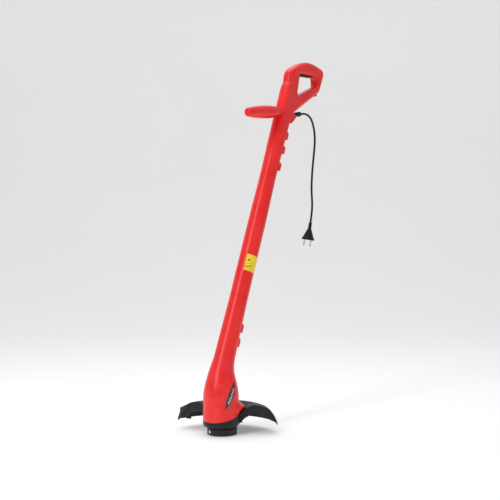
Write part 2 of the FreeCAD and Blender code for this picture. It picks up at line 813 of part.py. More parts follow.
def cord_clamp():
    """The bar that grips the strain relief's tail inside the tube."""
    middle = cord_place(CLAMP_BACK)
    low = middle.z + RELIEF_TAIL_R + 0.1
    bar = box((-10.5, middle.y - 4.0, low), (10.5, middle.y + 4.0, low + 3.5))
    tail = cylinder(RELIEF_TAIL_R, 20.0, cord_place(CLAMP_BACK + 10.0), cord_out())
    save("cord_clamp", bar.cut(tail).cut(clamp_screws(0.2)))
    save("cord_clamp_screws", clamp_screws())


def cord_hook():
    """The small nub under the grip's strut that an extension lead is looped on."""
    outline = rounded_outline([
        (438.0, 943.0, 1.0),
        (458.0, 954.0, 1.0),
        (457.0, 940.0, 2.0),
        (450.0, 933.5, 2.0),
        (443.0, 934.0, 2.0),
    ])
    save("cord_hook", plate(Part.Face(outline), 4.0).cut(grip_body()))


LEAD_X = 6.5
LEAD_ROUTE = [
    (372.2, 1008.0),
    (352.0, 996.0),
    (328.0, 975.0),
    (309.0, 925.0),
    (280.6, 862.0),
    (71.0, 349.0),
    (12.0, 202.0),
    (0.0, 152.0),
]


def wiring():
    """The interference capacitor and the two leads from the switch down to the motor."""
    can = box((-5.0, -9.0, -14.0), (5.0, 9.0, 14.0))
    can = can.makeFillet(1.5, can.Edges)
    lean = FreeCAD.Rotation(X_AXIS, -SHAFT_LEAN)
    can.Placement = FreeCAD.Placement(shaft_point(640.0, 6.0), lean)
    save("suppressor_capacitor", can)
    leads = []
    for x in (-LEAD_X, LEAD_X):
        points = [Vector(x, y, z) for y, z in LEAD_ROUTE]
        leads.append(tube_along(points, 1.2)[0])
    save("motor_leads", Part.makeCompound(leads))


# ---------------------------------------------------------------- guard


GUARD_TOP = [
    # radius, height
    (50.0, 56.0),
    (58.0, 64.5),
    (68.0, 71.0),
    (82.0, 75.5),
    (100.0, 73.5),
    (115.0, 68.5),
    (126.0, 60.0),
    (134.0, 49.0),
    (140.0, 38.0),
    (GUARD_R, 26.0),
]
WEB_LOWER = [
    # radius, height of the end webs' lower edge
    (138.0, 31.0),
    (113.0, 43.0),
    (76.0, 51.0),
    (60.0, 42.0),
    (50.0, 33.0),
    (42.0, 24.0),
    (42.0, 44.0),
]
GUARD_START = 90.0 - GUARD_LEFT_END
GUARD_SWEEP = GUARD_LEFT_END + GUARD_RIGHT_END
GUARD_SCREWS = [(12.0, -36.0), (-12.0, -36.0), (27.0, 20.0), (-27.0, 20.0)]


def guard_curve(offset):
    """The guard's radial profile as a smooth curve, moved in by offset, and its ends."""
    points = []
    for i, (r, z) in enumerate(GUARD_TOP):
        r0, z0 = GUARD_TOP[max(i - 1, 0)]
        r1, z1 = GUARD_TOP[min(i + 1, len(GUARD_TOP) - 1)]
        length = math.hypot(r1 - r0, z1 - z0)
        points.append(Vector(r - offset * (z0 - z1) / length, 0, z - offset * (r1 - r0) / length))
    curve = Part.BSplineCurve()
    curve.interpolate(points)
    return curve.toShape(), points[0], points[-1]


def swept(edges, start, sweep):
    """A face between edges in the XZ plane, turned about the upright."""
    face = Part.Face(Part.Wire(edges))
    face.rotate(Vector(), Z_AXIS, start)
    return face.revolve(Vector(), Z_AXIS, sweep)


def guard_dome():
    """The curved deflector."""
    top, top_in, top_out = guard_curve(0.0)
    low, low_in, low_out = guard_curve(GUARD_WALL)
    edges = [top, Part.makeLine(top_out, low_out), low, Part.makeLine(low_in, top_in)]
    return swept(edges, GUARD_START, GUARD_SWEEP)


def guard_seat():
    """Room for the deflector under the housing's flared back edge."""
    top, inner, outer = guard_curve(-GAP)
    corners = [outer, Vector(outer.x, 0, 0), Vector(inner.x, 0, 0), inner]
    edges = [top] + Part.makePolygon(corners).Edges
    return swept(edges, GUARD_START - 2.0, GUARD_SWEEP + 4.0)


def guard_end(angle, thick):
    """The stiffening web at one end of the deflector."""
    top, inner, outer = guard_curve(1.0)
    corners = [outer] + [Vector(r, 0, z) for r, z in WEB_LOWER] + [inner]
    face = Part.Face(Part.Wire([top] + Part.makePolygon(corners).Edges))
    web = face.extrude(Vector(0, thick, 0))
    web.rotate(Vector(), Z_AXIS, angle)
    return web


def guard_collar():
    """The cup under the motor housing that carries the deflector."""
    collar = lathe([
        (0.0, COLLAR_Z),
        (BODY_R - 5.5, COLLAR_Z),
        (BODY_R - 2.0, COLLAR_Z + 3.0),
        (BODY_R, COLLAR_Z + 8.0),
        (BODY_R, COLLAR_Z + 60.0),
        (BODY_R - 3.0, COLLAR_Z + 60.0),
        (BODY_R - 3.0, COLLAR_Z + 8.0),
        (BODY_R - 6.0, COLLAR_Z + 3.0),
        (0.0, COLLAR_Z + 3.0),
    ], BODY_Y)
    collar = collar.common(below_rim(-0.1))
    return collar.cut(cylinder(HUB_R + 5.0, 20.0, Vector(0, 0, COLLAR_Z - 5.0)))


def guard_lug():
    """The small block under the deflector's right arm."""
    lug = box((112.0, -6.0, 27.0), (126.0, 0.0, 46.0))
    lug.rotate(Vector(), Z_AXIS, GUARD_START + GUARD_SWEEP)
    return lug


def guard():
    """The deflector on its collar, and the screws that hold the collar up to the housing."""
    back_wall = lathe(
        [(BODY_R - 2.0, 30.0), (52.5, 30.0), (52.5, 57.5), (BODY_R - 2.0, 52.0)],
        sweep=GUARD_SWEEP, start=GUARD_START)
    back_wall = back_wall.cut(cylinder(BODY_R - 0.5, 100.0, Vector(0, BODY_Y, 0)))
    ends = [guard_end(GUARD_START, 3.0), guard_end(GUARD_START + GUARD_SWEEP, -3.0)]
    body = join([guard_dome(), guard_collar(), back_wall, guard_lug()] + ends)
    housing = cylinder(BODY_R + GAP, 60.0, Vector(0, BODY_Y, COLLAR_Z)).cut(below_rim(-0.1))
    body = body.cut(housing)
    screws = []
    for x, y in GUARD_SCREWS:
        base = Vector(x, y, COLLAR_Z)
        body = body.cut(cylinder(SCREW_R + 0.2, 20.0, base - Z_AXIS * 5.0))
        shank = cylinder(SCREW_R, 14.0, base)
        screws.append(join([shank, cylinder(SCREW_HEAD_R, 2.0, base + Z_AXIS * 3.0)]))
    save("guard", body)
    save("guard_screws", Part.makeCompound(screws))


CUTTER_OUTLINE = [
    # radius, height, corner
    (113.5, 60.0, 1.5),
    (119.0, 66.0, 1.5),
    (136.0, 58.5, 3.0),
    (146.0, 54.0, 2.0),
    (146.0, 44.0, 1.0),
    (155.0, 23.0, 1.0),
    (151.0, 19.5, 1.0),
    (139.0, 32.0, 1.0),
    (136.0, 42.0, 2.0),
    (127.0, 47.0, 2.0),
]
CUTTER_SCREWS = [(119.5, 61.0), (127.5, 54.0)]


def line_cutter():
    """The blade that trims the line, on the end face of the deflector's right arm."""
    thick = 1.5
    blade = Part.Face(rounded_outline(CUTTER_OUTLINE)).extrude(Vector(thick, 0, 0))
    screws = [cylinder(2.6, 1.6, Vector(thick, r, z), X_AXIS) for r, z in CUTTER_SCREWS]
    for name, shape in (("line_cutter", blade), ("line_cutter_screws", Part.makeCompound(screws))):
        shape = shape.mirror(Vector(), X_AXIS)
        shape.rotate(Vector(), Z_AXIS, GUARD_START + GUARD_SWEEP - 90.0)
        save(name, shape)


# ---------------------------------------------------------------- motor


def annulus(outer, inner, low, high):
    return lathe([(inner, low), (outer, low), (outer, high), (inner, high)])


def around(shape, count):
    """Copies of a shape evenly round the upright axis."""
    return [shape.rotated(Vector(), Z_AXIS, 360.0 / count * i) for i in range(count)]


def motor():
    """A brushed mains motor: stator, armature, shaft, fan, bearings, brackets and brushes."""
    mid = STACK_Z + STACK_TALL / 2
    stack = annulus(STACK_R, ARMATURE_R + AIR_GAP, STACK_Z, STACK_Z + STACK_TALL)
    windows = []
    for side in (-1, 1):
        sector = annulus(27.0, ARMATURE_R - 1, STACK_Z - 1, STACK_Z + STACK_TALL + 1)
        windows.append(sector.common(box((side * 30 - 24, -8, 0), (side * 30 + 24, 8, 200))))
    stack = stack.cut(join(windows))
    save("field_stack", stack)
    coils = []
    for side in (-1, 1):
        ring_wire = annulus(26.5, ARMATURE_R + AIR_GAP + 0.5, STACK_Z - 5.0, STACK_Z + STACK_TALL + 5.0)
        coils.append(ring_wire.common(box((side * 30 - 23, -7.5, 0), (side * 30 + 23, 7.5, 200))))
    save("field_coils", Part.makeCompound(coils))

    save("armature_core", slotted_core(STACK_Z + 1.0, STACK_TALL - 2.0))
    ends = [
        annulus(ARMATURE_R - 2.0, 6.0, STACK_Z - 5.0, STACK_Z + 1.0),
        annulus(ARMATURE_R - 2.0, 6.0, STACK_Z + STACK_TALL - 1.0, STACK_Z + STACK_TALL + 6.0),
    ]
    save("armature_windings", Part.makeCompound(ends))
    slits = around(box((-0.3, 10.0, 115.0), (0.3, 12.0, 130.0)), 24)
    save("commutator", annulus(11.0, SHAFT_R, 116.0, 129.0).cut(join(slits)))
    shaft = lathe([(0, 8.0), (SHAFT_R, 8.0), (SHAFT_R, 133.0), (3.0, 133.0), (3.0, 142.0), (0, 142.0)])
    save("motor_shaft", shaft)

    fan = annulus(9.0, SHAFT_R, 52.0, 64.0).fuse(annulus(31.0, 8.0, 52.0, 53.6))
    blades = around(box((8.0, -0.8, 53.0), (30.5, 0.8, 63.0)), 10)
    save("cooling_fan", join([fan] + blades))

    save("lower_bearing", annulus(BEARING_R, SHAFT_R + PIN_CLEARANCE, 40.0, 40.0 + BEARING_TALL))
    save("upper_bearing", annulus(9.5, 3.0 + PIN_CLEARANCE, 134.0, 140.0))
    bracket = annulus(14.0, BEARING_R, 38.5, 48.0).fuse(annulus(36.0, 13.0, 44.0, 47.0))
    rim = annulus(36.0, 33.5, 44.0, 70.5)
    windows = around(box((20.0, -7.0, 48.5), (60.0, 7.0, 66.0)), 6)
    save("lower_motor_bracket", join([bracket, rim]).cut(join(windows)))
    cup = annulus(12.5, 9.5, 133.0, 142.5).fuse(annulus(12.5, 4.5, 141.0, 143.5))
    arm = box((-31.5, -6.0, 131.0), (31.5, 6.0, 133.6)).cut(cylinder(9.0, 20.0, Vector(0, 0, 125.0)))
    arm = arm.fuse(annulus(12.5, 9.0, 131.0, 134.0))
    foot = STACK_Z + STACK_TALL
    legs = [box((x - 1.5, -6.0, foot), (x + 1.5, 6.0, 133.6)) for x in (-30.0, 30.0)]
    save("upper_motor_bracket", join([cup, arm] + legs))

    holders, brushes, springs = [], [], []
    for side in (-1, 1):
        low, high = sorted((side * 13.0, side * 24.5))
        outer = box((low, -4.6, 118.2), (high, 4.6, 127.4))
        inner = box((low - 1, -3.2, 119.6), (high + 1, 3.2, 126.0))
        holders.append(outer.cut(inner))
        low, high = sorted((side * 11.1, side * 19.0))
        brushes.append(box((low, -3.0, 119.8), (high, 3.0, 125.8)))
        springs.append(spring(2.0, 0.4, 5.2, 4, Vector(side * 19.1, 0, 122.8), Vector(side, 0, 0)))
    save("brush_holders", Part.makeCompound(holders))
    save("carbon_brushes", Part.makeCompound(brushes))
    save("brush_springs", Part.makeCompound(springs))


def slotted_core(low, tall):
    core = annulus(ARMATURE_R, SHAFT_R, low, low + tall)
    slots = []
    for i in range(12):
        slot = box((11.0, -1.4, low - 1), (ARMATURE_R + 1, 1.4, low + tall + 1))
        slots.append(slot.rotated(Vector(), Z_AXIS, 30.0 * i))
    return core.cut(join(slots))


# ---------------------------------------------------------------- cutting head


def cutting_head():
    """The turning head: its drum, eyelets, nut, spool, tap button, spring and cap."""
    spool_drum()
    save("drive_nut", hexagon(6.5, 4.2, 9.6).cut(cylinder(SHAFT_R, 20.0, Vector())))
    bore = 11.2
    hub = annulus(14.5, bore, 5.3, 12.8)
    flanges = [annulus(SPOOL_R, bore, low, low + 1.4) for low in (5.3, 11.4)]
    save("spool", join([hub] + flanges))
    save("line_winding", annulus(29.0, 14.8, 7.0, 11.1))
    button_profile = [
        (0.0, 0.6),
        (BUTTON_R - 1.0, 0.6),
        (BUTTON_R, 1.6),
        (BUTTON_R, 5.0),
        (11.3, 5.0),
        (11.3, 2.9),
        (0.0, 2.9),
    ]
    save("tap_button", lathe(button_profile))
    spring_low = 2.95
    spring_tall = HEAD_TOP - HEAD_WALL - 0.15 - spring_low
    save("spool_spring", spring(9.6, 1.0, spring_tall, 3, Vector(0, 0, spring_low)))
    cap_profile = [
        (BUTTON_R + GAP, 0.0),
        (HEAD_R - 3.0, 0.0),
        (HEAD_R - 1.0, 0.9),
        (HEAD_R, 2.6),
        (HEAD_R, 5.0),
        (HEAD_R - HEAD_WALL, 5.0),
        (HEAD_R - HEAD_WALL, 2.6),
        (BUTTON_R + GAP, 2.6),
    ]
    save("spool_cap", lathe(cap_profile))


def spool_drum():
    """The drum that turns with the motor's shaft, and the two eyelets that the line leaves by."""
    drum_low, hub_low, hub_high = 5.2, 14.0, 26.0
    profile = [
        (SHAFT_R, hub_low),
        (HUB_R, hub_low),
        (HUB_R, HEAD_TOP - HEAD_WALL),
        (HEAD_R - HEAD_WALL, HEAD_TOP - HEAD_WALL),
        (HEAD_R - HEAD_WALL, drum_low),
        (HEAD_R, drum_low),
        (HEAD_R, HEAD_TOP - 2.0),
        (HEAD_R - 2.5, HEAD_TOP),
        (HUB_R + 3.0, HEAD_TOP),
        (HUB_R + 3.0, hub_high),
        (SHAFT_R, hub_high),
    ]
    barrel_r, lip_r, line_hole_r = 2.6, 3.6, 1.3
    turn = math.radians(EYELET_TURN)
    level = Z_AXIS * EYELET_Z
    holes, eyelets = [], []
    for side in (-1, 1):
        out = Vector(math.sin(turn), math.cos(turn), 0) * side
        holes.append(cylinder(barrel_r, 10.0, level + out * (HEAD_R - 6.0), out))
        start = level + out * (HEAD_R - HEAD_WALL - 0.8)
        barrel = cylinder(barrel_r, HEAD_WALL + 1.6, start, out)
        lip = cylinder(lip_r, 0.9, level + out * (HEAD_R + 0.1), out)
        eyelets.append(barrel.fuse(lip).cut(cylinder(line_hole_r, 10.0, start - out, out)))
    save("spool_housing", lathe(profile).cut(join(holes)))
    save("line_eyelets", Part.makeCompound(eyelets))


def hexagon(radius, tall, low):
    points = [Vector(radius, 0, low)]
    for i in range(1, 6):
        angle = math.radians(60 * i)
        points.append(Vector(radius * math.cos(angle), radius * math.sin(angle), low))
    return Part.Face(Part.makePolygon(points + points[:1])).extrude(Vector(0, 0, tall))


os.makedirs("parts", exist_ok=True)
upper_housing()
lower_housing()
joint_sleeve()
trims()
front_handle()
trigger_parts()
switch_parts()
cord_parts()
cord_clamp()
cord_hook()
wiring()
guard()
line_cutter()
motor()
cutting_head()
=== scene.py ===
# %% [markdown]
# # A corded string trimmer
# The trimmer hangs from the hand on its rear grip: a red moulded housing in four shells, a black
# guard and cutting head at the foot, and a short mains lead. The solid pieces come ready made as
# the frame. This lesson gives every one of them a finish, and models the pieces whose shape
# needs more detail than the frame holds.

# %% Load the frame
import json
import math

import bpy
from mathutils import Matrix, Vector


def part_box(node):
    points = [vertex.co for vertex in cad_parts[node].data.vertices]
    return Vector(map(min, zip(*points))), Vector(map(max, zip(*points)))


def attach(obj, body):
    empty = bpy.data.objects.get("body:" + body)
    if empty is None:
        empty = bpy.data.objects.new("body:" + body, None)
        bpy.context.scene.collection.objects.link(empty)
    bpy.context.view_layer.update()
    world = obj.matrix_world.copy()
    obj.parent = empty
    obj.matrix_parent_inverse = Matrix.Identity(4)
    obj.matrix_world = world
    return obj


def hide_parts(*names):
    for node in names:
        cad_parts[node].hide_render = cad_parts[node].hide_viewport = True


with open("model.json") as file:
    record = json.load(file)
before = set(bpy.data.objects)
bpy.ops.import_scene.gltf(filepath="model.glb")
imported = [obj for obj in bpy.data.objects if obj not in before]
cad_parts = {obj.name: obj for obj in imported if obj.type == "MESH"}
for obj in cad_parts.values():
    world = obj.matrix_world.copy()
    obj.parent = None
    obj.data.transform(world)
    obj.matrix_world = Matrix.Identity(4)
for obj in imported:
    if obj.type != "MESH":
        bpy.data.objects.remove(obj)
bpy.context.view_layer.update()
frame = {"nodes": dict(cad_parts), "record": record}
nodes = frame["nodes"]
bpy.ops.object.select_all(action="DESELECT")
MM = 0.001

# %% [markdown]
# ## Camera
# The trimmer is seen level from its front left, from far enough away that its long shaft hardly
# narrows. A long lens two and a half metres away gives that calm product view.

# %% Camera
VIEW_TURN = math.radians(36.0)
bpy.ops.object.camera_add(
    location=(1.4984, -2.3397, -0.528), rotation=(math.radians(90), 0, VIEW_TURN))
camera = bpy.context.object
camera.name = "product_camera"
camera.data.lens = 68.04
camera.data.sensor_width = 36.0
bpy.context.scene.camera = camera
print("camera lens", camera.data.lens)

# %% [markdown]
# ## Mains lead
# The lead is one flexible tube, so it is a curve with a round bevel. Its control points are the
# corners of the route that the frame's tube follows. A quadratic NURBS spline through them bends
# smoothly, and pinning its ends keeps it in the strain relief and in the plug. The order is set
# after the points are there, because a spline with too few points can't hold it. The thickness
# is given as each point's radius, since the curve's box grows by that much on every side.

# %% Mains lead
CORD_D = 6.2 * MM
CORD_START = Vector((0.0, -23.456, -131.491)) * MM
CORD_END = Vector((-3.884, 33.088, -446.494)) * MM
PLUG_DOWN = Vector((-0.122373, -0.088909, -0.988494))
cord_route = [
    CORD_START,
    Vector((0.0, 2.543, -126.906)) * MM,
    Vector((0.0, 31.0, -138.5)) * MM,
    Vector((0.5, 46.5, -167.0)) * MM,
    Vector((1.5, 50.0, -203.0)) * MM,
    Vector((1.0, 44.0, -244.0)) * MM,
    Vector((-0.5, 37.5, -294.0)) * MM,
    Vector((0.0, 31.5, -350.0)) * MM,
    Vector((1.5, 37.0, -403.0)) * MM,
    CORD_END,
]
lead_curve = bpy.data.curves.new("mains_lead", "CURVE")
lead_curve.dimensions = "3D"
spline = lead_curve.splines.new("NURBS")
spline.points.add(len(cord_route) - 1)
for point, place in zip(spline.points, cord_route):
    point.co = (*place, 1.0)
    point.radius = CORD_D / 2
spline.order_u = 3
spline.use_endpoint_u = True
spline.resolution_u = 16
lead_curve.bevel_depth = 1.0
lead_curve.bevel_resolution = 6
lead_curve.use_fill_caps = True
mains_lead = bpy.data.objects.new("mains_lead", lead_curve)
bpy.context.scene.collection.objects.link(mains_lead)
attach(mains_lead, "housing")
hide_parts("power_cord")
print("lead of", len(cord_route), "control points")

# %% [markdown]
# ## Shader arithmetic
# A pattern is easier to read as arithmetic than as a web of nodes. Value wraps one socket, and
# each operator adds the Math node it stands for. Finish holds one material, and its add method
# makes any other node, with its settings first and then its sockets.

# %% Shader arithmetic


class Value:
    """One number that changes over a surface."""

    def __init__(self, finish, socket):
        self.finish = finish
        self.socket = socket

    def math(self, operation, *numbers):
        inputs = dict(enumerate(numbers))
        node = self.finish.add("ShaderNodeMath", {"operation": operation}, inputs)
        return Value(self.finish, node.outputs[0])

    def __add__(self, other):
        return self.math("ADD", self, other)

    def __sub__(self, other):
        return self.math("SUBTRACT", self, other)

    def __rsub__(self, other):
        return self.math("SUBTRACT", other, self)

    def __mul__(self, other):
        return self.math("MULTIPLY", self, other)

    def __truediv__(self, other):
        return self.math("DIVIDE", self, other)

    def __abs__(self):
        return self.math("ABSOLUTE", self)

    def wave(self):
        return self.math("SINE", self)

    def above(self, edge, soft):
        """0 under an edge and 1 over it, with a soft step between."""
        settings = {"interpolation_type": "SMOOTHSTEP"}
        inputs = {"Value": self, "From Min": edge - soft, "From Max": edge + soft}
        node = self.finish.add("ShaderNodeMapRange", settings, inputs)
        return Value(self.finish, node.outputs["Result"])

    __radd__ = __add__
    __rmul__ = __mul__


class Finish:
    """A material with one Principled shader, and the nodes that feed it."""

    def __init__(self, name, **constants):
        self.material = bpy.data.materials.new(name)
        self.material.use_nodes = True
        self.tree = self.material.node_tree
        self.shader = self.tree.nodes["Principled BSDF"]
        for socket, number in constants.items():
            self.shader.inputs[socket.replace("_", " ")].default_value = number
        coordinates = self.add("ShaderNodeTexCoord")
        self.place = coordinates.outputs["Object"]
        split = self.add("ShaderNodeSeparateXYZ", {}, {"Vector": self.place})
        self.x, self.y, self.z = (Value(self, output) for output in split.outputs)

    def add(self, kind, settings=None, inputs=None):
        node = self.tree.nodes.new(kind)
        for name, setting in (settings or {}).items():
            setattr(node, name, setting)
        for name, content in (inputs or {}).items():
            self.feed(node.inputs[name], content)
        return node

    def feed(self, socket, content):
        if isinstance(content, Value):
            content = content.socket
        if isinstance(content, bpy.types.NodeSocket):
            self.tree.links.new(content, socket)
        else:
            socket.default_value = content

    def noise(self, scale, detail=2.0, stretch=(1, 1, 1)):
        """Cloudy noise over the piece, about 0.5 in the middle."""
        mapping = self.add("ShaderNodeMapping", {}, {"Vector": self.place, "Scale": stretch})
        inputs = {"Vector": mapping.outputs["Vector"], "Scale": scale, "Detail": detail}
        node = self.add("ShaderNodeTexNoise", {}, inputs)
        return Value(self, node.outputs["Fac"])

    def mix(self, share, first, second):
        """A colour between two others."""
        node = self.add("ShaderNodeMix", {"data_type": "RGBA"}, {0: share, 6: first, 7: second})
        return node.outputs[2]

    def colour(self, content):
        self.feed(self.shader.inputs["Base Color"], content)

    def roughness(self, content):
        self.feed(self.shader.inputs["Roughness"], content)

    def bump(self, height, depth, strength=1.0):
        """Raises the surface by a height of 0 to 1 times a depth in metres."""
        inputs = {"Height": height, "Distance": depth, "Strength": strength}
        node = self.add("ShaderNodeBump", {}, inputs)
        self.feed(self.shader.inputs["Normal"], node.outputs["Normal"])


def rgb(red, green, blue):
    return (red, green, blue, 1.0)


print("shader arithmetic ready")

# %% [markdown]
# ## Red moulded housing
# The shells are glossy red plastic. Real mouldings are never one flat colour: the surface has a
# faint orange peel, the gloss varies in soft clouds, and dust and fine scuffs gather low down near
# the cutting head. The two halves meet in a thin parting line down the middle, so the finish
# darkens and dips there.

# %% Red moulded housing
RED = rgb(0.84, 0.014, 0.016)
RED_DEEP = rgb(0.55, 0.008, 0.010)
RED_WARM = rgb(0.90, 0.026, 0.024)


def red_plastic():
    red = Finish("red_plastic", IOR=1.46, Coat_Weight=0.15, Coat_Roughness=0.18)
    red.shader.inputs["Specular IOR Level"].default_value = 0.35
    clouds = red.noise(14.0, 3.0)
    scuffs = red.noise(190.0, 4.0, (1, 1, 0.08)).above(0.67, 0.03)
    low_down = 1 - red.z.above(-0.80, 0.12)
    parting = 1 - abs(red.x).above(0.00035, 0.00025)
    dusty = low_down * red.noise(36.0, 5.0).above(0.55, 0.15)
    base = red.mix(clouds.above(0.5, 0.2), RED, RED_WARM)
    base = red.mix(scuffs * low_down * 0.25, base, rgb(0.92, 0.16, 0.14))
    base = red.mix(dusty * 0.05, base, rgb(0.7, 0.45, 0.35))
    red.colour(red.mix(parting * 0.75, base, RED_DEEP))
    red.roughness(0.27 + clouds * 0.10 + scuffs * low_down * 0.2 + dusty * 0.12)
    peel = red.noise(420.0, 2.0)
    red.bump(peel * 0.06 - parting * 1.0 - scuffs * low_down * 0.05, 0.00025, 0.9)
    return red.material


# %% [markdown]
# ## Black mouldings
# The guard, cutting head and trigger are black plastic with the fine spark finish of their mould,
# so they shine softly and show grey dust in scattered patches. One function makes the family, and
# each piece chooses its shade, its grain and how much dust it carries.

# %% Black mouldings


def black_plastic(name, shade, gloss, grain=0.5, dust=0.3):
    black = Finish(name, IOR=1.46)
    black.shader.inputs["Specular IOR Level"].default_value = 0.32
    clouds = black.noise(22.0, 3.0)
    dusting = black.noise(60.0, 6.0).above(0.6, 0.12) * dust
    fine = black.noise(1700.0, 2.0)
    base = black.mix(clouds, rgb(*[c * 0.8 for c in shade]), rgb(*[c * 1.25 for c in shade]))
    black.colour(black.mix(dusting * 0.25, base, rgb(0.13, 0.12, 0.105)))
    black.roughness(gloss + clouds * 0.1 + fine * 0.08 + dusting * 0.2)
    black.bump(fine * grain + clouds * 0.2, 0.00012, 0.6)
    return black.material


# %% [markdown]
# ## Rubber, metal and the rest
# Drawn wire, ground shafts and plated pins share one metal whose brush marks run along a chosen
# direction. Rubber is dull with a faint bloom. Copper windings show the wire as fine rings, dark
# between the turns with painted shade.

# %% Rubber, metal and the rest


def rubber(name, shade):
    skin = Finish(name, IOR=1.5)
    bloom = skin.noise(55.0, 4.0)
    base = skin.mix(bloom.above(0.55, 0.2), rgb(*shade), rgb(*[c * 1.9 for c in shade]))
    skin.colour(base)
    skin.roughness(0.42 + bloom * 0.22)
    skin.bump(skin.noise(900.0, 2.0), 0.00008, 0.5)
    return skin.material


def metal(name, shade, gloss, along=(1, 1, 0.04), tarnish=0.25):
    steel = Finish(name, Metallic=1.0)
    brush = steel.noise(1500.0, 3.0, along)
    stain = steel.noise(85.0, 5.0).above(0.58, 0.12) * tarnish
    steel.colour(steel.mix(stain, rgb(*shade), rgb(*[c * 0.45 for c in shade])))
    steel.roughness(gloss + brush * 0.16 + stain * 0.25)
    steel.bump(brush, 0.00005, 0.5)
    return steel.material


def wound_wire(name, shade, pitch, gloss=0.35, metallic=0.0):
    wire = Finish(name, Metallic=metallic)
    turns = (wire.z * (2 * math.pi / pitch)).wave() * 0.5 + 0.5
    # The dark half of each ring is painted shade in the groove between turns; the bump raises the
    # turns as well.
    wire.colour(wire.mix(turns, rgb(*[c * 0.35 for c in shade]), rgb(*shade)))
    wire.roughness(gloss + (1 - turns) * 0.3 + wire.noise(300.0) * 0.1)
    wire.bump(turns, pitch * 0.4, 0.8)
    return wire.material


# %% [markdown]
# ## Stickers
# The tube carries a yellow label and the motor housing a black leaf badge. Both are printed film.
# Their print is left plain: a few bars and a block on the label, and a row of slanted strokes along
# the middle of the badge, with no lettering.

# %% Stickers
LABEL_MIDDLE = sum(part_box("tube_label"), Vector()) / 2
LABEL_HALF_TALL = 21.5 * MM
BADGE_MIDDLE = sum(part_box("badge"), Vector()) / 2


def label_print():
    film = Finish("label_film", IOR=1.45, Coat_Weight=0.3, Coat_Roughness=0.12)
    up = (film.z - LABEL_MIDDLE.z) / LABEL_HALF_TALL
    aside = abs(film.x - LABEL_MIDDLE.x)
    bars = (up * 16.0).wave().above(0.45, 0.15)
    printed = bars * (1 - abs(up + 0.30).above(0.36, 0.02)) * (1 - aside.above(0.0062, 0.0004))
    block = (1 - abs(up - 0.48).above(0.12, 0.02)) * (1 - aside.above(0.0026, 0.0004))
    faded = film.noise(120.0, 3.0)
    yellow = film.mix(faded, rgb(0.92, 0.66, 0.012), rgb(0.98, 0.75, 0.03))
    film.colour(film.mix((printed + block) * 0.7, yellow, rgb(0.06, 0.05, 0.03)))
    film.roughness(0.3 + faded * 0.15)
    film.bump(film.noise(500.0) * 0.3, 0.00006, 0.4)
    return film.material


BADGE_TURN = math.radians(73.0)
BADGE_TILT = math.radians(27.0)


def badge_print():
    film = Finish("badge_film", IOR=1.5, Coat_Weight=0.6, Coat_Roughness=0.06)
    middle_side = BADGE_MIDDLE.x * math.cos(BADGE_TURN) + BADGE_MIDDLE.y * math.sin(BADGE_TURN)
    side = film.x * math.cos(BADGE_TURN) + film.y * math.sin(BADGE_TURN) - middle_side
    up = film.z - BADGE_MIDDLE.z
    along = up * math.cos(BADGE_TILT) + side * math.sin(BADGE_TILT)
    across = side * math.cos(BADGE_TILT) - up * math.sin(BADGE_TILT)
    strokes = ((along + across * 0.6) * 900.0).wave().above(0.0, 0.3)
    band = (1 - abs(across).above(0.0030, 0.0005)) * (1 - abs(along).above(0.0215, 0.0010))
    clouds = film.noise(60.0)
    ink = film.mix(clouds, rgb(0.008, 0.008, 0.009), rgb(0.02, 0.02, 0.022))
    film.colour(film.mix(strokes * band * 0.85, ink, rgb(0.72, 0.72, 0.72)))
    film.roughness(0.16 + clouds * 0.1)
    film.bump(film.noise(700.0) * 0.4, 0.00004, 0.4)
    return film.material


# %% [markdown]
# ## A finish for every slot
# Each frame piece names the slot it takes its finish from. A dictionary from slot to material is
# enough to dress the whole frame, and a new piece can look its material up by the same slot name.

# %% A finish for every slot
BLACK = (0.010, 0.011, 0.013)
STEEL = (0.56, 0.55, 0.53)
finishes = {
    "housing_plastic": red_plastic(),
    "guard_plastic": black_plastic("guard_black", BLACK, 0.36),
    "trigger_plastic": black_plastic("trigger_black", (0.008, 0.008, 0.009), 0.40, dust=0.1),
    "hook_plastic": black_plastic("hook_black", (0.05, 0.02, 0.02), 0.4, dust=0.1),
    "head_plastic": black_plastic("head_black", (0.014, 0.015, 0.018), 0.32, dust=0.4),
    "inner_plastic": black_plastic("inner_grey", (0.16, 0.16, 0.16), 0.5, dust=0.1),
    "switch_case": black_plastic("switch_black", (0.04, 0.04, 0.045), 0.45, dust=0.0),
    "plug_plastic": black_plastic("plug_black", (0.012, 0.012, 0.014), 0.38, dust=0.05),
    "badge_film": badge_print(),
    "label_film": label_print(),
    "screw_steel": metal("zinc_steel", (0.60, 0.59, 0.55), 0.28),
    "spring_steel": metal("spring_wire", STEEL, 0.25),
    "blade_steel": metal("blackened_steel", (0.06, 0.06, 0.065), 0.36, (1, 1, 0.1), 0.35),
    "shaft_steel": metal("ground_steel", (0.62, 0.62, 0.62), 0.18, tarnish=0.1),
    "core_steel": wound_wire("laminations", (0.30, 0.30, 0.31), 0.0014, 0.4, 0.9),
    "winding_copper": wound_wire("enamelled_copper", (0.55, 0.17, 0.05), 0.0011, 0.25, 0.8),
    "brush_carbon": black_plastic("pressed_carbon", (0.03, 0.03, 0.03), 0.6, 1.0, 0.0),
    "eyelet_metal": metal("turned_aluminium", (0.80, 0.80, 0.80), 0.2, (1, 0.05, 1), 0.1),
    "line_nylon": wound_wire("cutting_line", (0.75, 0.85, 0.75), 0.0016, 0.25),
    "cord_rubber": rubber("cord_black", (0.005, 0.005, 0.006)),
    "lead_insulation": rubber("lead_black", (0.02, 0.02, 0.03)),
    "pin_metal": metal("plated_pins", (0.74, 0.73, 0.70), 0.16, tarnish=0.12),
}
for row in frame["record"]["subparts"]:
    mesh = nodes[row["node"]].data
    mesh.materials.clear()
    mesh.materials.append(finishes[row["material_slot"]])
mains_lead.data.materials.append(finishes["cord_rubber"])
print(len(finishes), "finishes on", len(nodes), "frame pieces")

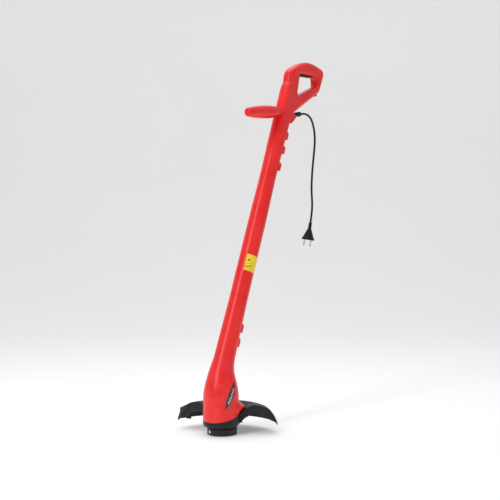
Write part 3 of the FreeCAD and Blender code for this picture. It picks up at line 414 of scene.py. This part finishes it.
# %% [markdown]
# ## Modelling helpers
# Most small pieces here grow out of one disc: its end face is extruded and scaled again and again,
# like clay drawn up ring by ring. finish_piece then puts a piece's place into its mesh, smooths
# it, and hangs it on the body that carries it.

# %% Modelling helpers


def draw_up(stations, sides=48):
    """An upright body through (height, half width, half depth) stations, in metres."""
    low, half_x, half_y = stations[0]
    bpy.ops.object.select_all(action="DESELECT")
    bpy.ops.mesh.primitive_circle_add(
        vertices=sides, radius=1.0, fill_type="NGON", location=(0, 0, 0))
    piece = bpy.context.object
    bpy.ops.object.mode_set(mode="EDIT")
    bpy.ops.mesh.select_all(action="SELECT")
    bpy.ops.transform.resize(value=(half_x, half_y, 1), center_override=(0, 0, 0))
    bpy.ops.transform.translate(value=(0, 0, low))
    for high, next_x, next_y in stations[1:]:
        rise = {"value": (0, 0, high - low)}
        bpy.ops.mesh.extrude_region_move(TRANSFORM_OT_translate=rise)
        spread = (next_x / half_x, next_y / half_y, 1)
        bpy.ops.transform.resize(value=spread, center_override=(0, 0, high))
        low, half_x, half_y = high, next_x, next_y
    bpy.ops.mesh.select_all(action="SELECT")
    bpy.ops.mesh.remove_doubles(threshold=0.00001)
    bpy.ops.mesh.normals_make_consistent(inside=False)
    bpy.ops.object.mode_set(mode="OBJECT")
    return piece


def apply_modifier(piece, kind, **settings):
    modifier = piece.modifiers.new(kind.title(), kind)
    for name, setting in settings.items():
        setattr(modifier, name, setting)
    bpy.context.view_layer.objects.active = piece
    bpy.ops.object.modifier_apply(modifier=modifier.name)


def finish_piece(piece, name, body, slot, place=None, smooth=35.0):
    """Settles a new piece: its place, shading, finish looked up by slot, and body."""
    if place is not None:
        piece.matrix_world = place
    bpy.ops.object.select_all(action="DESELECT")
    piece.select_set(True)
    bpy.context.view_layer.objects.active = piece
    bpy.ops.object.transform_apply(location=True, rotation=True, scale=True)
    bpy.ops.object.shade_smooth_by_angle(angle=math.radians(smooth))
    piece.name = piece.data.name = name
    piece.data.materials.clear()
    piece.data.materials.append(finishes[slot])
    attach(piece, body)
    piece.select_set(False)
    return piece


# %% [markdown]
# ## Strain relief
# Where the lead leaves the housing a soft sleeve keeps it from kinking. The real one is a short
# black neck with ribs, a collar near its outer end and a cone that fades into the lead, so its
# stations swing in and out along the lead's first centimetres. It stands for the frame's sleeve.

# %% Strain relief
EXIT_RISE = math.radians(10.0)
SLEEVE_LENGTH = 47.0 * MM
RIB_PITCH = 3.9
exit_way = Vector((0, math.cos(EXIT_RISE), math.sin(EXIT_RISE)))
relief_mouth = CORD_START - exit_way * SLEEVE_LENGTH
relief_stations = [(-14.0, 3.8), (-14.0, 5.4), (11.0, 5.4), (11.6, 6.0)]
for i in range(5):
    rib = 12.2 + RIB_PITCH * i
    relief_stations += [(rib, 6.5), (rib + 2.0, 6.5), (rib + 2.2, 5.7), (rib + 3.7, 5.7)]
relief_stations += [(32.6, 7.2), (37.0, 7.2), (37.6, 6.0), (43.0, 4.7), (46.4, 3.9), (46.8, 3.2)]
strain_sleeve = draw_up([(h * MM, r * MM, r * MM) for h, r in relief_stations])
apply_modifier(strain_sleeve, "BEVEL", width=0.25 * MM, segments=2, limit_method="ANGLE")
along_exit = Matrix.Translation(relief_mouth) @ Matrix.Rotation(EXIT_RISE - math.pi / 2, 4, "X")
finish_piece(strain_sleeve, "strain_sleeve", "housing", "cord_rubber", along_exit)
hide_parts("strain_relief")
print("strain relief of", len(relief_stations), "rings")

# %% [markdown]
# ## Plug
# The plug is a flat two-pin moulding that hangs from the lead. Its neck is round and ribbed for
# the fingers, its shoulders widen to a flange, and a shallow panel is sunk in each broad face.
# It is drawn up ring by ring like the sleeve, then the broad faces are inset.

# %% Plug
plug_stations = [(0.0, 4.2), (0.4, 4.6)]
for i in range(4):
    rib = 1.6 + 4.3 * i
    plug_stations += [(rib, 4.7), (rib + 0.2, 5.3), (rib + 2.0, 5.3), (rib + 2.3, 4.6)]
plug_stations = [(h, r, r) for h, r in plug_stations]
plug_stations += [(20.0, 6.0, 5.2), (24.0, 7.6, 5.9), (30.0, 10.0, 6.4), (36.0, 12.6, 6.8)]
plug_stations += [(43.0, 15.5, 7.2), (45.6, 16.6, 7.4), (46.0, 18.0, 7.8), (46.6, 18.3, 8.0)]
plug_stations += [(51.4, 18.3, 8.0), (52.0, 17.8, 7.5)]
plug_shell = draw_up([(h * MM, x * MM, y * MM) for h, x, y in plug_stations])
bpy.context.view_layer.objects.active = plug_shell
bpy.ops.object.mode_set(mode="EDIT")
bpy.ops.mesh.select_all(action="DESELECT")
bpy.ops.mesh.select_mode(type="FACE")
bpy.ops.object.mode_set(mode="OBJECT")
for face in plug_shell.data.polygons:
    tall = 24.0 * MM < face.center.z < 43.0 * MM
    inside = abs(face.center.x) < 0.3 * face.center.z - 6.0 * MM
    face.select = tall and inside and abs(face.normal.y) > 0.8
panel_faces = sum(face.select for face in plug_shell.data.polygons)
bpy.ops.object.mode_set(mode="EDIT")
bpy.ops.mesh.inset(thickness=0.6 * MM, depth=-0.5 * MM)
bpy.ops.object.mode_set(mode="OBJECT")
hang = Vector((0, 0, -1)).rotation_difference(PLUG_DOWN).to_matrix().to_4x4()
upside_down = Matrix.Rotation(math.pi, 4, "X")
plug_place = Matrix.Translation(CORD_END) @ hang @ Matrix.Rotation(VIEW_TURN, 4, "Z") @ upside_down
finish_piece(plug_shell, "plug_shell", "housing", "plug_plastic", plug_place)
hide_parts("plug_body")
print("plug panel of", panel_faces, "faces")

# %% [markdown]
# ## Floor and light
# A pale sweep stands in for the studio: a floor that curves up into a wall, so no horizon shows.
# A tall soft key from the upper left draws the long highlight down the tube, a weak fill from
# the right keeps the shadow side red, and a broad light overhead lifts the edges and the floor.

# %% Floor and light
FLOOR_Z = -1.005
FLOOR_WIDE, FLOOR_DEEP = 14.0, 9.0
WALL_TALL = 7.0
BACK_EDGE = 4.0
across = Vector((math.cos(VIEW_TURN), math.sin(VIEW_TURN), 0))
away = Vector((-math.sin(VIEW_TURN), math.cos(VIEW_TURN), 0))
middle = Vector((0, -0.2, -0.45))


def studio_place(right, back, up):
    """A place given from the trimmer's middle, as the camera sees it."""
    return middle + across * right + away * back + Vector((0, 0, up))


bpy.ops.mesh.primitive_plane_add(size=1.0, location=(0, 0, 0))
sweep = bpy.context.object
bpy.ops.object.mode_set(mode="EDIT")
bpy.ops.transform.resize(value=(FLOOR_WIDE, FLOOR_DEEP, 1), center_override=(0, 0, 0))
bpy.ops.mesh.select_all(action="DESELECT")
bpy.ops.object.mode_set(mode="OBJECT")
for edge in sweep.data.edges:
    ends = [sweep.data.vertices[v].co.y for v in edge.vertices]
    edge.select = min(ends) > BACK_EDGE
bpy.ops.object.mode_set(mode="EDIT")
bpy.ops.mesh.select_mode(type="EDGE")
bpy.ops.mesh.extrude_region_move(TRANSFORM_OT_translate={"value": (0, 0, WALL_TALL)})
bpy.ops.object.mode_set(mode="OBJECT")
for edge in sweep.data.edges:
    ends = [sweep.data.vertices[v].co for v in edge.vertices]
    edge.select = min(e.y for e in ends) > BACK_EDGE and max(e.z for e in ends) < 0.1
bpy.ops.object.mode_set(mode="EDIT")
bpy.ops.mesh.bevel(offset=2.2, segments=16, affect="EDGES")
bpy.ops.object.mode_set(mode="OBJECT")
sweep.matrix_world = Matrix.Translation((0, 0, FLOOR_Z)) @ Matrix.Rotation(VIEW_TURN, 4, "Z")
bpy.ops.object.shade_smooth()
sweep.name = "studio_sweep"
paper = Finish("studio_paper", Roughness=0.9)
paper.colour(paper.mix(paper.noise(3.0), rgb(0.92, 0.92, 0.92), rgb(0.95, 0.95, 0.95)))
paper.shader.inputs["Emission Color"].default_value = rgb(1.0, 1.0, 1.0)
paper.shader.inputs["Emission Strength"].default_value = 0.22
sweep.data.materials.append(paper.material)


def soft_light(name, place, power, width, height, aim=middle):
    bpy.ops.object.light_add(type="AREA", location=place)
    lamp = bpy.context.object
    lamp.name = name
    lamp.data.shape = "RECTANGLE"
    lamp.data.size, lamp.data.size_y = width, height
    lamp.data.energy = power
    lamp.rotation_euler = (aim - lamp.location).to_track_quat("-Z", "Y").to_euler()
    return lamp


soft_light("key_light", studio_place(-1.3, -1.7, 1.1), 20.0, 0.5, 1.9)
soft_light("fill_light", studio_place(1.9, -1.5, 0.4), 2.0, 1.6, 2.0)
soft_light("top_light", studio_place(-0.1, 0.3, 2.2), 24.0, 1.8, 1.8)
world = bpy.data.worlds.new("studio_air")
world.use_nodes = True
world.node_tree.nodes["Background"].inputs["Color"].default_value = rgb(1.0, 1.0, 1.0)
world.node_tree.nodes["Background"].inputs["Strength"].default_value = 0.42
bpy.context.scene.world = world
bpy.context.scene.view_settings.view_transform = "Standard"
print("studio ready")

# %% Final scene update
bpy.context.view_layer.update()
